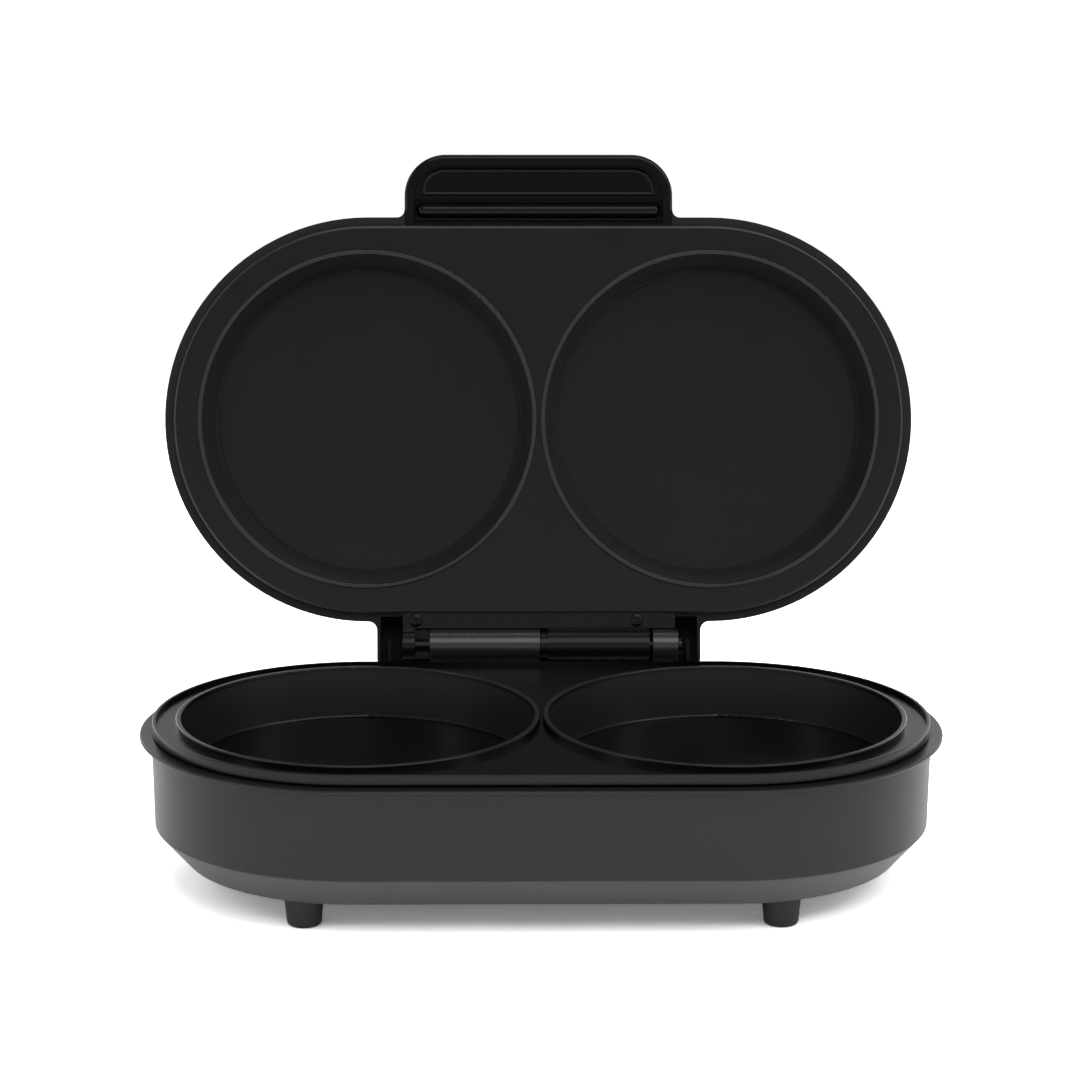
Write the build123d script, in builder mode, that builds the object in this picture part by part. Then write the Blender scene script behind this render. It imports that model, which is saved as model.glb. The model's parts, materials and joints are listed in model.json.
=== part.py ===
# Twin omelette maker with a hinged lid, standing open.
# Origin on the table below the middle of the base, +Z up, the front towards -Y, in millimetres.
# Lid heights and places are those of the closed lid, and lid_frame carries them to the open lid.
import os
from math import cos, radians, sin

from build123d import *

os.makedirs("parts", exist_ok=True)

# Wells and lower plate
well_radius = 66.1
well_bridge = 5.0
well_draft = 2.9
well_depth = 19.6
well_lip_width = 2.0
well_lip_rise = 0.55
well_corner = 1.0
cast_wall = 4.4
plate_border = 10.5
rim_lip_width = 1.2
gutter_depth = 1.7
deck_thickness = 2.0
edge_round = 0.5

# Base housing
foot_height = 11.2
pan_height = 12.4
pan_spread = 10.9
wall_height = 33.2
wall_draft = 0.7
flange_margin = 4.8
flange_width = 4.3
flange_thickness = 1.6
flange_round = 0.5
under_round = 1.2
shell = 2.5
plate_gap = 1.0

# Lid
closed_gap = 0.3
open_angle = 103.9
ridge_offset = 1.75
ridge_width = 1.9
ridge_rise = 1.2
recess_depth = 22.0
recess_draft = 3.85
recess_corner_radius = 1.5
lid_deck_thickness = 2.1
lid_plate_round = 1.1
lid_skirt_gap = 0.6
lid_inset = 0.3
lid_rim_width = 3.6
lid_flange_width = 3.4
lid_flange_thickness = 1.4
lid_wall_draft = 1.1
lid_room = 14.1
lid_crown_height = 11.8
lid_crown_spread = 11.1
lid_shell = 1.6
lid_cast_wall = 1.6

# Hinge
hinge_setback = 9.2
hinge_rise = 2.15
barrel_radius = 6.5
pin_radius = 2.4
pin_bore_gap = 0.05
pin_seat_gap = 0.02
pin_head_height = 1.2
hinge_gap = 0.35
stop_gap = 0.3
barrel_split = 0.35
collar_width = 10.0
collar_overhang = 1.1
collar_gap = 1.4
lid_neck_start = 0.65
lid_neck_end = 3.7
lid_neck_radius = 5.7
lid_ear_inset = 0.1
lid_ear_width = 4.8
lid_ear_gap = 6.0
lid_ear_radius = 6.2
pad_thickness = 4.6
pad_stand = 0.5
hinge_foot_height = 14.6
hinge_foot_thickness = 4.0
hinge_screw_inset = 7.5
hinge_screw_pitch = 28.0
leaf_half_width = 54.4
leaf_thickness = 3.0
leaf_lap = 1.3
leaf_seat = 2.0
leaf_screw_inset = 5.1
leaf_screw_setback = 10.0
leaf_head_radius = 2.6
leaf_head_height = 1.3
leaf_head_seat = 1.0
leaf_boss_radius = 3.4
web_thickness = 1.5
web_length = 11.6
hinge_web = 2.4
tail_margin = 10.4
tail_wall = 1.4
tail_reach = 10.0
tail_height = 8.0
tail_rise = 8.0
tail_blend = 3.5
tail_corner = 5.0
tail_edge = 4.0
tail_rib_inset = 5.4
tail_rib = 1.2
tail_rib_length = 11.1

# Handle
handle_width = 107.6
handle_reach = 25.4
handle_corner = 16.5
handle_height = 16.0
handle_wall = 2.2
handle_front_wall = 4.6
handle_side_wall = 3.9
handle_edge = 4.0
handle_under_edge = 1.6
handle_flare = 3.0
handle_screw_x = 35.0
handle_screw_drop = 5.8
handle_boss_radius = 3.5
handle_boss_length = 9.0
root_gap = 0.02
insert_gap = 0.15
insert_seat = 0.3
insert_depth = 6.4
insert_sheet = 1.0
dish_depth = 1.9
dish_round = 1.8
dish_inset = 3.0
dish_corner = 9.0
dish_rim = 0.5
dish_length = 11.6
dish_crest = 1.0
grip_roll_radius = 2.9
grip_roll_inset = 3.2
grip_roll_margin = 0.6
grip_web = 2.0
rear_rim_width = 0.8
rear_slot_width = 1.3
rear_slot_depth = 5.0
hook_x = 18.0
hook_reach = 9.0
hook_half_width = 5.0
hook_thickness = 2.0
hook_barb = 1.5
hook_barb_height = 2.2
hook_clearance = 2.8
catch_gap = 0.2
catch_thickness = 2.4

# Feet, bottom cover and small parts
foot_offset = 17.9
foot_inset = 10.0
foot_rear_offset = 8.0
foot_rear_inset = 7.8
foot_top_radius = 7.3
foot_tip_radius = 6.2
foot_round = 1.5
stem_radius = 3.0
stem_gap = 0.1
barb_radius = 3.9
barb_height = 2.4
cover_inset = 1.5
cover_thickness = 2.8
cover_gap = 0.3
ledge_width = 3.0
ledge_thickness = 2.4
cover_boss_height = 9.0
cover_screw_x = 25.0
cover_screw_inset = 0.4
cover_post_radius = 3.0
post_inset = 20.0
shield_pad_radius = 4.0
vent_length = 40.0
vent_width = 3.0
vent_pitch = 9.0
vent_count = 7
plate_screw_x = 14.0
plate_screw_inset = 19.6
lug_height = 35.4
lug_thickness = 4.0
lug_width = 12.0
gusset_drop = 14.0
gusset_thickness = 2.0
boss_radius = 4.5
screw_gap = 0.1
small_shank_radius = 1.5
small_shank_length = 8.0
plate_shank_radius = 1.9
plate_shank_length = 12.0
plate_head_radius = 3.5
plate_head_height = 2.4
cover_shank_radius = 1.3
cover_head_radius = 2.9
cover_head_height = 1.5
strap_shank_length = 6.0
strap_head_radius = 3.4
strap_head_height = 1.8
handle_shank_length = 9.0
handle_head_radius = 2.8
handle_head_height = 1.6
hinge_shank_radius = 1.8
hinge_head_radius = 3.4
hinge_head_height = 2.0
tube_radius = 3.2
tube_gap = 0.05
tube_loop_inset = 23.2
tube_end_x = 11.0
tube_pin_reach = 6.0
strap_thickness = 1.0
strap_width = 12.0
strap_overhang = 8.0
tray_sheet = 0.8
tray_inset = 11.0
tray_flare = 1.0
tray_rim = 4.0
tray_drop = 13.05
tray_stand = 1.2
inlet_height = 33.0
inlet_bore = 3.6
inlet_radius = 6.0
inlet_flange = 2.2
inlet_reach = 4.0
inlet_lip = 2.0
inlet_clearance = 0.5
inlet_pad_margin = 4.0
pad_margin = 1.0
light_x = 9.0
light_inset = 8.5
light_radius = 3.2
light_rise = 0.9
light_flange = 0.9
lamp_radius = 2.2
lamp_length = 9.0
thermostat_radius = 8.5
thermostat_height = 7.5
thermostat_inset = 19.0
thermostat_ear = 27.0
thermostat_ear_width = 7.0
blade_pitch = 9.0
blade_width = 6.3
blade_length = 8.0
blade_thickness = 0.8
fuse_radius = 2.2
fuse_length = 22.0
fuse_lead = 5.0
fuse_lead_radius = 0.6
fuse_inset = 10.0
block_width = 26.0
block_depth = 6.0
block_height = 11.0
block_hole_radius = 2.0
block_hole_depth = 6.0
block_hole_pitch = 8.0

# Widths that follow from the sizes above, from the wells outwards
well_spacing = 2 * well_radius + well_bridge
half_spacing = well_spacing / 2
plate_radius = well_radius + plate_border
flange_radius = plate_radius + flange_margin
wall_radius = flange_radius - flange_width
crease_radius = wall_radius - wall_draft
pan_radius = crease_radius - pan_spread
cover_radius = pan_radius - cover_inset
ledge_radius = cover_radius - ledge_width
ridge_radius = well_radius + ridge_offset
recess_radius = ridge_radius - ridge_width - recess_draft
lid_flange_radius = flange_radius - lid_inset
lid_plate_radius = lid_flange_radius - lid_rim_width
lid_wall_radius = lid_flange_radius - lid_flange_width
lid_crease_radius = lid_wall_radius - lid_wall_draft
lid_crown_radius = lid_crease_radius - lid_crown_spread
floor_radius = well_radius - well_draft
foot_front = (half_spacing + foot_offset, foot_inset - cover_radius)
foot_rear = (half_spacing + foot_rear_offset, cover_radius - foot_rear_inset)
cover_screw_y = ledge_radius - cover_screw_inset
plate_screw_y = plate_radius - plate_screw_inset
tube_loop_radius = floor_radius - tube_loop_inset
strap_length = 2 * (tube_loop_radius + strap_overhang)
tray_radius = ledge_radius - tray_inset
post_y = tray_radius - post_inset
tail_half_width = leaf_half_width + tail_margin
lid_ear = (lid_ear_inset - leaf_half_width, lid_ear_inset + lid_ear_width - leaf_half_width)
base_barrel = (lid_ear[1] + lid_ear_gap, barrel_split)
base_collar = (leaf_half_width + collar_overhang - collar_width, leaf_half_width + collar_overhang)
lid_barrel = (lid_neck_end, base_collar[0] - collar_gap)
first_screw_x = base_barrel[0] + hinge_screw_inset
hinge_screw_x = (first_screw_x, first_screw_x + hinge_screw_pitch, base_collar[1] - collar_width / 2)
leaf_screw_x = (leaf_screw_inset - leaf_half_width, lid_barrel[1] - leaf_screw_inset)
light_y = light_inset - lid_crown_radius
thermostat_y = plate_screw_y - thermostat_inset
fuse_y = fuse_inset - plate_screw_y

# Heights and places that follow from the sizes above
pan_bottom = foot_height
crease_height = pan_bottom + pan_height
flange_bottom = crease_height + wall_height
flange_top = flange_bottom + flange_thickness
deck_bottom = flange_top + plate_gap
gutter_floor = deck_bottom + deck_thickness
plate_top = gutter_floor + gutter_depth
lip_top = plate_top + well_lip_rise
well_floor = lip_top - well_depth
cup_bottom = well_floor - cast_wall
tray_height = cup_bottom - tray_drop
hinge_y = flange_radius + hinge_setback
hinge_z = lip_top + hinge_rise
lid_mating = lip_top + closed_gap
lid_deck = lid_mating + ridge_rise
lid_deck_back = lid_deck + lid_deck_thickness
lid_flange = lid_deck_back + lid_skirt_gap
lid_flange_top = lid_flange + lid_flange_thickness
recess_floor = lid_mating + recess_depth
lid_cup_back = recess_floor + lid_cast_wall
lid_top = lid_cup_back + lid_room
lid_crease = lid_top - lid_crown_height
pad_face = wall_radius + pad_stand
pad_back = pad_face - pad_thickness
ledge_top = pan_bottom + cover_thickness + ledge_thickness
lug_top = pan_bottom + lug_height
lug_bottom = lug_top - lug_thickness
hinge_foot_bottom = flange_bottom - stop_gap - hinge_foot_height
hinge_screw_z = hinge_foot_bottom + hinge_foot_height / 2 + pad_margin
hook_top = lid_flange_top + hook_reach
stud_length = 2 * (tube_radius + tube_gap)
lid_shield_height = lid_top - lid_shell - tray_stand

# The open lid's frame: its X, Y and height are those of the closed lid
tilt = radians(open_angle)
base_frame = Plane.XY
lid_frame = Plane(
    origin=(
        0,
        hinge_y * (1 - cos(tilt)) - hinge_z * sin(tilt),
        hinge_z * (1 - cos(tilt)) + hinge_y * sin(tilt),
    ),
    x_dir=(1, 0, 0),
    z_dir=(0, sin(tilt), cos(tilt)),
)
lid_depth_axis = Axis(lid_frame.origin, lid_frame.y_dir)
lid_height_axis = Axis(lid_frame.origin, lid_frame.z_dir)


def stadium(frame, height, radius):
    with BuildSketch(frame.offset(height)) as outline:
        SlotCenterToCenter(well_spacing, 2 * radius)
    return outline.sketch


def stack(frame, levels, mode=Mode.ADD):
    for (radius, height), (next_radius, next_height) in zip(levels, levels[1:]):
        sections = [stadium(frame, height, radius), stadium(frame, next_height, next_radius)]
        loft(sections, ruled=True, mode=mode)


def front_section(frame, x, y=0.0):
    # a plane facing the front, whose X is the frame's X and whose Y is height
    return Plane(origin=frame.from_local_coords((x, y, 0)), x_dir=frame.x_dir, z_dir=-frame.y_dir)


def side_section(frame, x):
    # a plane facing +X, whose X is the frame's Y and whose Y is height
    return Plane(origin=frame.from_local_coords((x, 0, 0)), x_dir=frame.y_dir, z_dir=frame.x_dir)


def upright(plane):
    return Axis(plane.origin, plane.y_dir)


def screws(seat, places, head_radius, head_height, shank_radius, shank_length):
    # seat lies under the heads, and its normal points along the shanks
    with BuildSketch(seat) as heads:
        with Locations(*places):
            Circle(head_radius)
    with BuildSketch(seat) as shanks:
        with Locations(*places):
            Circle(shank_radius)
    with BuildSketch(seat.offset(-head_height)) as slots:
        with Locations(*places):
            Rectangle(head_radius, head_radius / 4)
            Rectangle(head_radius / 4, head_radius)
    extrude(heads.sketch, amount=-head_height)
    extrude(shanks.sketch, amount=shank_length)
    extrude(slots.sketch, amount=head_height / 2, mode=Mode.SUBTRACT)


def save(piece, node):
    piece.part.label = node
    export_step(piece.part, f"parts/{node}.step")


well_places = [(-half_spacing, 0), (half_spacing, 0)]
four_ways = [(-1, -1), (1, -1), (-1, 1), (1, 1)]
cover_screw_places = [(i * cover_screw_x, j * cover_screw_y) for i, j in four_ways]
plate_screw_places = [(i * plate_screw_x, j * plate_screw_y) for i, j in four_ways]
foot_places = [(i * x, y) for x, y in (foot_front, foot_rear) for i in (-1, 1)]
pan_slope = (crease_radius - pan_radius) / pan_height
lug_reach = wall_radius - shell / 2 - wall_draft

# Base housing: a thin tub with a flared flange, open below for the bottom cover
with BuildPart() as base_housing:
    stack(
        base_frame,
        [
            (pan_radius, pan_bottom),
            (crease_radius, crease_height),
            (wall_radius, flange_bottom - under_round),
            (wall_radius + under_round / 3, flange_bottom - under_round / 3),
            (wall_radius + under_round, flange_bottom),
        ],
    )
    stack(
        base_frame,
        [
            (flange_radius - flange_round, flange_bottom),
            (flange_radius, flange_bottom + flange_round),
            (flange_radius, flange_top),
        ],
    )
    fillet(base_housing.faces().sort_by(Axis.Z)[-1].edges(), flange_round)
    ledge_outer = pan_radius + pan_slope * (ledge_top - pan_bottom) - shell
    stack(
        base_frame,
        [(ledge_outer, ledge_top), (crease_radius - shell, crease_height), (wall_radius - shell, flange_top)],
        mode=Mode.SUBTRACT,
    )
    for radius, top in ((ledge_radius, ledge_top), (cover_radius + cover_gap, pan_bottom + cover_thickness)):
        extrude(stadium(base_frame, pan_bottom, radius), amount=top - pan_bottom, mode=Mode.SUBTRACT)
    # bosses for the cover's screws, standing on the ledge
    with BuildSketch(base_frame.offset(pan_bottom + cover_thickness)):
        with Locations(*cover_screw_places):
            Circle(boss_radius)
    extrude(amount=cover_boss_height)
    with BuildSketch(base_frame.offset(pan_bottom)):
        with Locations(*cover_screw_places):
            Circle(cover_shank_radius + screw_gap)
    extrude(amount=cover_thickness + cover_boss_height, mode=Mode.SUBTRACT)
    # lugs that carry the lower plate, each on a gusset
    for i, j in four_ways:
        with BuildSketch(base_frame.offset(lug_bottom)):
            with Locations((i * plate_screw_x, j * (plate_screw_y - boss_radius + lug_reach) / 2)):
                Rectangle(lug_width, lug_reach - plate_screw_y + boss_radius)
        extrude(amount=lug_thickness)
        with BuildSketch(side_section(base_frame, i * plate_screw_x)):
            with BuildLine():
                gusset_foot = plate_screw_y + boss_radius + gusset_thickness
                Polyline(
                    (j * gusset_foot, lug_bottom),
                    (j * lug_reach, lug_bottom),
                    (j * (lug_reach - wall_draft), lug_bottom - gusset_drop),
                    close=True,
                )
            make_face()
        extrude(amount=gusset_thickness / 2, both=True)
    with BuildSketch(base_frame.offset(lug_bottom)):
        with Locations(*plate_screw_places):
            Circle(plate_shank_radius + screw_gap)
    extrude(amount=lug_thickness, mode=Mode.SUBTRACT)
    # flat pads on the rear wall for the hinge and the cord inlet
    pad_start = base_barrel[0] - 2 * pad_margin
    pad_end = base_collar[1] + 2 * pad_margin
    with BuildSketch(side_section(base_frame, pad_start)):
        with Locations((pad_face, flange_bottom)):
            Rectangle(pad_thickness, hinge_foot_height + pad_margin, align=(Align.MAX, Align.MAX))
    extrude(amount=pad_end - pad_start)
    rear_wall = Plane.XZ.offset(-pad_face)
    with BuildSketch(rear_wall):
        with Locations((0, inlet_height)):
            Circle(inlet_radius + inlet_pad_margin)
    extrude(amount=pad_thickness)
    with BuildSketch(rear_wall):
        with Locations((0, inlet_height)):
            Circle(inlet_radius + screw_gap)
        with Locations(*[(x, hinge_screw_z) for x in hinge_screw_x]):
            Circle(hinge_shank_radius + screw_gap)
    extrude(amount=pad_thickness, mode=Mode.SUBTRACT)
save(base_housing, "base_housing")

# Bottom cover: a flat moulding with vents, recessed screw holes and posts for the heat shield
with BuildPart() as bottom_cover:
    extrude(stadium(base_frame, pan_bottom, cover_radius), amount=cover_thickness)
    with BuildSketch(base_frame.offset(pan_bottom)):
        with Locations(*well_places):
            with GridLocations(vent_pitch, 1, vent_count, 1):
                SlotOverall(vent_length, vent_width, rotation=90)
        with Locations(*foot_places):
            Circle(stem_radius + stem_gap)
        with Locations(*cover_screw_places):
            Circle(cover_shank_radius + screw_gap)
    extrude(amount=cover_thickness, mode=Mode.SUBTRACT)
    with BuildSketch(base_frame.offset(pan_bottom)):
        with Locations(*cover_screw_places):
            Circle(cover_head_radius + 2 * screw_gap)
    extrude(amount=cover_head_height, mode=Mode.SUBTRACT)
    with BuildSketch(base_frame.offset(pan_bottom + cover_thickness)):
        with Locations(*well_places):
            with GridLocations(1, 2 * post_y, 1, 2):
                Circle(cover_post_radius)
    extrude(amount=tray_height - pan_bottom - cover_thickness)
save(bottom_cover, "bottom_cover")

with BuildPart() as cover_screws:
    cover_screw_seat = base_frame.offset(pan_bottom + cover_head_height)
    screws(
        cover_screw_seat,
        cover_screw_places,
        cover_head_radius,
        cover_head_height,
        cover_shank_radius,
        small_shank_length,
    )
save(cover_screws, "cover_screws")

# Feet: tapered rubber cones, each pushed through the cover by a barbed stem
foot_names = ("foot_front_left", "foot_front_right", "foot_rear_left", "foot_rear_right")
for foot_name, (x, y) in zip(foot_names, foot_places):
    foot_section = front_section(base_frame, x, y)
    stem_top = pan_bottom + cover_thickness + stem_gap
    with BuildPart() as foot:
        with BuildSketch(foot_section):
            with BuildLine():
                Polyline(
                    (0, 0),
                    (foot_tip_radius, 0),
                    (foot_top_radius, foot_height),
                    (stem_radius, foot_height),
                    (stem_radius, stem_top),
                    (barb_radius, stem_top),
                    (stem_radius - 1, stem_top + barb_height),
                    (0, stem_top + barb_height),
                    close=True,
                )
            make_face()
        revolve(axis=upright(foot_section))
        fillet(foot.faces().sort_by(Axis.Z)[0].edges(), foot_round)
    save(foot, foot_name)

# Lower plate: one casting with two wells, a gutter round them and four bosses below
with BuildPart() as lower_plate:
    extrude(stadium(base_frame, deck_bottom, plate_radius), amount=plate_top - deck_bottom)
    fillet(lower_plate.faces().sort_by(Axis.Z)[-1].edges(), edge_round / 2)
    extrude(
        stadium(base_frame, gutter_floor, plate_radius - rim_lip_width),
        amount=gutter_depth,
        mode=Mode.SUBTRACT,
    )
    with BuildSketch(base_frame.offset(deck_bottom)):
        with Locations(*well_places):
            Circle(well_radius + well_lip_width / 2)
    extrude(amount=deck_thickness, mode=Mode.SUBTRACT)
    lip_radius = well_radius + well_lip_width
    for x in (-half_spacing, half_spacing):
        cup_section = front_section(base_frame, x)
        with BuildSketch(cup_section) as cup_profile:
            with BuildLine():
                Polyline(
                    (0, cup_bottom),
                    (floor_radius + cast_wall - edge_round, cup_bottom),
                    (lip_radius, gutter_floor),
                    (lip_radius, lip_top),
                    (well_radius, lip_top),
                    (floor_radius, well_floor),
                    (0, well_floor),
                    close=True,
                )
            make_face()
            fillet(cup_profile.vertices().group_by(Axis.Y)[-1], edge_round)
            inner_corner = cup_profile.vertices().sort_by_distance((floor_radius, well_floor))[0]
            fillet(inner_corner, well_corner)
            outer_corner = cup_profile.vertices().sort_by_distance((floor_radius + cast_wall, cup_bottom))[0]
            fillet(outer_corner, well_corner + cast_wall / 2)
        revolve(axis=upright(cup_section))
    # bosses that stand on the housing's lugs, and a stud under each well for the heater's strap
    with BuildSketch(base_frame.offset(lug_top)):
        with Locations(*plate_screw_places):
            Circle(boss_radius)
            Circle(plate_shank_radius + screw_gap, mode=Mode.SUBTRACT)
    extrude(amount=deck_bottom - lug_top)
    with BuildSketch(base_frame.offset(cup_bottom)):
        with Locations(*well_places):
            Circle(boss_radius)
            Circle(plate_shank_radius + screw_gap, mode=Mode.SUBTRACT)
    extrude(amount=-stud_length)
save(lower_plate, "lower_plate")

with BuildPart() as lower_plate_screws:
    plate_screw_seat = base_frame.offset(lug_bottom)
    screws(
        plate_screw_seat,
        plate_screw_places,
        plate_head_radius,
        plate_head_height,
        plate_shank_radius,
        plate_shank_length,
    )
save(lower_plate_screws, "lower_plate_screws")

# Upper plate: a flat deck with a ring ridge round each recess
with BuildPart() as upper_plate:
    extrude(stadium(lid_frame, lid_deck, lid_plate_radius), amount=lid_deck_thickness)
    fillet(upper_plate.faces().sort_by(lid_height_axis)[0].edges(), lid_plate_round)
    with BuildSketch(lid_frame.offset(lid_deck)):
        with Locations(*well_places):
            Circle(ridge_radius - ridge_width / 2)
    extrude(amount=lid_deck_thickness, mode=Mode.SUBTRACT)
    for x in (-half_spacing, half_spacing):
        recess_section = front_section(lid_frame, x)
        with BuildSketch(recess_section) as recess_profile:
            with BuildLine():
                Polyline(
                    (0, recess_floor),
                    (recess_radius, recess_floor),
                    (ridge_radius - ridge_width, lid_mating),
                    (ridge_radius, lid_mating),
                    (ridge_radius, lid_deck_back),
                    (ridge_radius - ridge_width + lid_cast_wall, lid_deck_back),
                    (recess_radius + lid_cast_wall, lid_cup_back),
                    (0, lid_cup_back),
                    close=True,
                )
            make_face()
            fillet(recess_profile.vertices().group_by(Axis.Y)[0], edge_round)
            recess_corner = recess_profile.vertices().sort_by_distance((recess_radius, recess_floor))[0]
            fillet(recess_corner, recess_corner_radius)
            back_place = (recess_radius + lid_cast_wall, lid_cup_back)
            back_corner = recess_profile.vertices().sort_by_distance(back_place)[0]
            fillet(back_corner, recess_corner_radius + lid_cast_wall / 2)
        revolve(axis=upright(recess_section))
    # studs for the heater's straps, a rear tongue under the hinge leaf and two front hooks
    with BuildSketch(lid_frame.offset(lid_cup_back)):
        with Locations(*well_places):
            Circle(boss_radius)
            Circle(plate_shank_radius + screw_gap, mode=Mode.SUBTRACT)
    extrude(amount=stud_length)
    with BuildSketch(lid_frame.offset(lid_deck_back - lid_deck_thickness / 3)):
        with Locations((0, lid_plate_radius - leaf_lap)):
            Rectangle(2 * (leaf_half_width - boss_radius), 2 * leaf_lap, align=(Align.CENTER, Align.MIN))
    extrude(amount=lid_deck_thickness / 3)
    hook_rear = -lid_wall_radius + lid_shell + hook_clearance
    for x in (-hook_x, hook_x):
        with BuildSketch(side_section(lid_frame, x)):
            with BuildLine():
                Polyline(
                    (hook_rear + hook_thickness, lid_deck_back),
                    (hook_rear, lid_deck_back),
                    (hook_rear, hook_top - hook_barb_height),
                    (hook_rear - hook_barb, hook_top - hook_barb_height),
                    (hook_rear - hook_barb, hook_top - hook_barb_height / 2),
                    (hook_rear, hook_top),
                    (hook_rear + hook_thickness, hook_top),
                    close=True,
                )
            make_face()
        extrude(amount=hook_half_width, both=True)
save(upper_plate, "upper_plate")

# Heaters, their straps and the heat shields, the same in both halves.
# Each back plane lies on the casting's back, and its normal points away from the food.
back_planes = {
    "lower": Plane(origin=(0, 0, cup_bottom), x_dir=(-1, 0, 0), z_dir=(0, 0, -1)),
    "upper": lid_frame.offset(lid_cup_back),
}
for half, back in back_planes.items():
    with BuildPart() as heating_element:
        with BuildLine(back.offset(tube_radius + tube_gap)) as element_path:
            Line((tube_end_x, tube_loop_radius), (half_spacing, tube_loop_radius))
            ThreePointArc(
                (half_spacing, tube_loop_radius),
                (half_spacing + tube_loop_radius, 0),
                (half_spacing, -tube_loop_radius),
            )
            Line((half_spacing, -tube_loop_radius), (-half_spacing, -tube_loop_radius))
            ThreePointArc(
                (-half_spacing, -tube_loop_radius),
                (-half_spacing - tube_loop_radius, 0),
                (-half_spacing, tube_loop_radius),
            )
            Line((-half_spacing, tube_loop_radius), (-tube_end_x, tube_loop_radius))
        start = Plane(origin=element_path.wires()[0] @ 0, z_dir=element_path.wires()[0] % 0)
        with BuildSketch(start):
            Circle(tube_radius)
        sweep(path=element_path.wires()[0])
        for way in (-1, 1):
            tip = side_section(back, way * (tube_end_x - tube_pin_reach))
            with BuildSketch(tip):
                with Locations((tube_loop_radius, tube_radius + tube_gap)):
                    Circle(tube_radius / 2)
            extrude(amount=way * (tube_pin_reach + edge_round))
    save(heating_element, f"{half}_heating_element")

    with BuildPart() as element_straps:
        with BuildSketch(back.offset(stud_length)):
            with Locations(*well_places):
                SlotOverall(strap_length, strap_width, rotation=90)
                Circle(plate_shank_radius + screw_gap, mode=Mode.SUBTRACT)
        extrude(amount=strap_thickness)
    save(element_straps, f"{half}_element_straps")

    with BuildPart() as strap_screws:
        strap_back = back.offset(stud_length + strap_thickness)
        strap_seat = Plane(origin=strap_back.origin, x_dir=back.x_dir, z_dir=-back.z_dir)
        screws(
            strap_seat,
            well_places,
            strap_head_radius,
            strap_head_height,
            plate_shank_radius,
            strap_shank_length,
        )
    save(strap_screws, f"{half}_strap_screws")

with BuildPart() as lower_heat_shield:
    stack(base_frame, [(tray_radius, tray_height), (tray_radius + tray_flare, tray_height + tray_rim)])
    stack(
        base_frame,
        [
            (tray_radius - tray_sheet, tray_height + tray_sheet),
            (tray_radius + tray_flare - tray_sheet, tray_height + tray_rim),
        ],
        mode=Mode.SUBTRACT,
    )
save(lower_heat_shield, "lower_heat_shield")

with BuildPart() as upper_heat_shield:
    stack(
        lid_frame,
        [(tray_radius, lid_shield_height), (tray_radius + tray_flare, lid_shield_height - tray_rim)],
    )
    stack(
        lid_frame,
        [
            (tray_radius - tray_sheet, lid_shield_height - tray_sheet),
            (tray_radius + tray_flare - tray_sheet, lid_shield_height - tray_rim),
        ],
        mode=Mode.SUBTRACT,
    )
save(upper_heat_shield, "upper_heat_shield")

# Controls inside the base
thermostat_seat = base_frame.offset(deck_bottom - tube_gap)
with BuildPart() as thermostat:
    with BuildSketch(thermostat_seat):
        with Locations((0, thermostat_y)):
            Circle(thermostat_radius)
    extrude(amount=-thermostat_height)
    with BuildSketch(thermostat_seat):
        with Locations((0, thermostat_y)):
            SlotOverall(thermostat_ear, thermostat_ear_width, rotation=90)
    extrude(amount=-blade_thickness)
    with BuildSketch(thermostat_seat.offset(-thermostat_height)):
        with Locations((0, thermostat_y)):
            with GridLocations(blade_pitch, 1, 2, 1):
                Rectangle(blade_thickness, blade_width)
    extrude(amount=-blade_length)
save(thermostat, "thermostat")

fuse_section = side_section(base_frame, -fuse_length / 2)
with BuildPart() as thermal_fuse:
    with BuildSketch(fuse_section):
        with Locations((fuse_y, deck_bottom - tube_gap - fuse_radius)):
            Circle(fuse_radius)
    extrude(amount=fuse_length)
    with BuildSketch(fuse_section.offset(-fuse_lead)):
        with Locations((fuse_y, deck_bottom - tube_gap - fuse_radius)):
            Circle(fuse_lead_radius)
    extrude(amount=fuse_length + 2 * fuse_lead)
save(thermal_fuse, "thermal_fuse")

block_y = ledge_radius + cover_gap
with BuildPart() as terminal_block:
    with BuildSketch(base_frame.offset(ledge_top)):
        with Locations((0, block_y)):
            Rectangle(block_width, block_depth, align=(Align.CENTER, Align.MIN))
    extrude(amount=block_height)
    with BuildSketch(base_frame.offset(ledge_top + block_height)):
        with Locations((0, block_y + block_depth / 2)):
            with GridLocations(block_hole_pitch, 1, 3, 1):
                Circle(block_hole_radius)
    extrude(amount=-block_hole_depth, mode=Mode.SUBTRACT)
save(terminal_block, "terminal_block")

# Cord inlet: a snap-in bush with a flange outside and a lip inside
with BuildPart() as cord_inlet_bush:
    inlet_section = Plane(origin=(0, 0, inlet_height), x_dir=(0, 1, 0), z_dir=(1, 0, 0))
    with BuildSketch(inlet_section):
        with BuildLine():
            Polyline(
                (pad_back - inlet_lip, inlet_bore),
                (pad_face + inlet_reach, inlet_bore),
                (pad_face + inlet_reach, inlet_radius),
                (pad_face + inlet_reach / 2, inlet_radius + inlet_flange),
                (pad_face, inlet_radius + inlet_flange),
                (pad_face, inlet_radius),
                (pad_back - screw_gap, inlet_radius),
                (pad_back - screw_gap, inlet_radius + inlet_flange / 3),
                (pad_back - inlet_lip, inlet_radius - inlet_flange / 6),
                close=True,
            )
        make_face()
    revolve(axis=Axis((0, 0, inlet_height), (0, 1, 0)))
save(cord_inlet_bush, "cord_inlet_bush")

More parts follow.
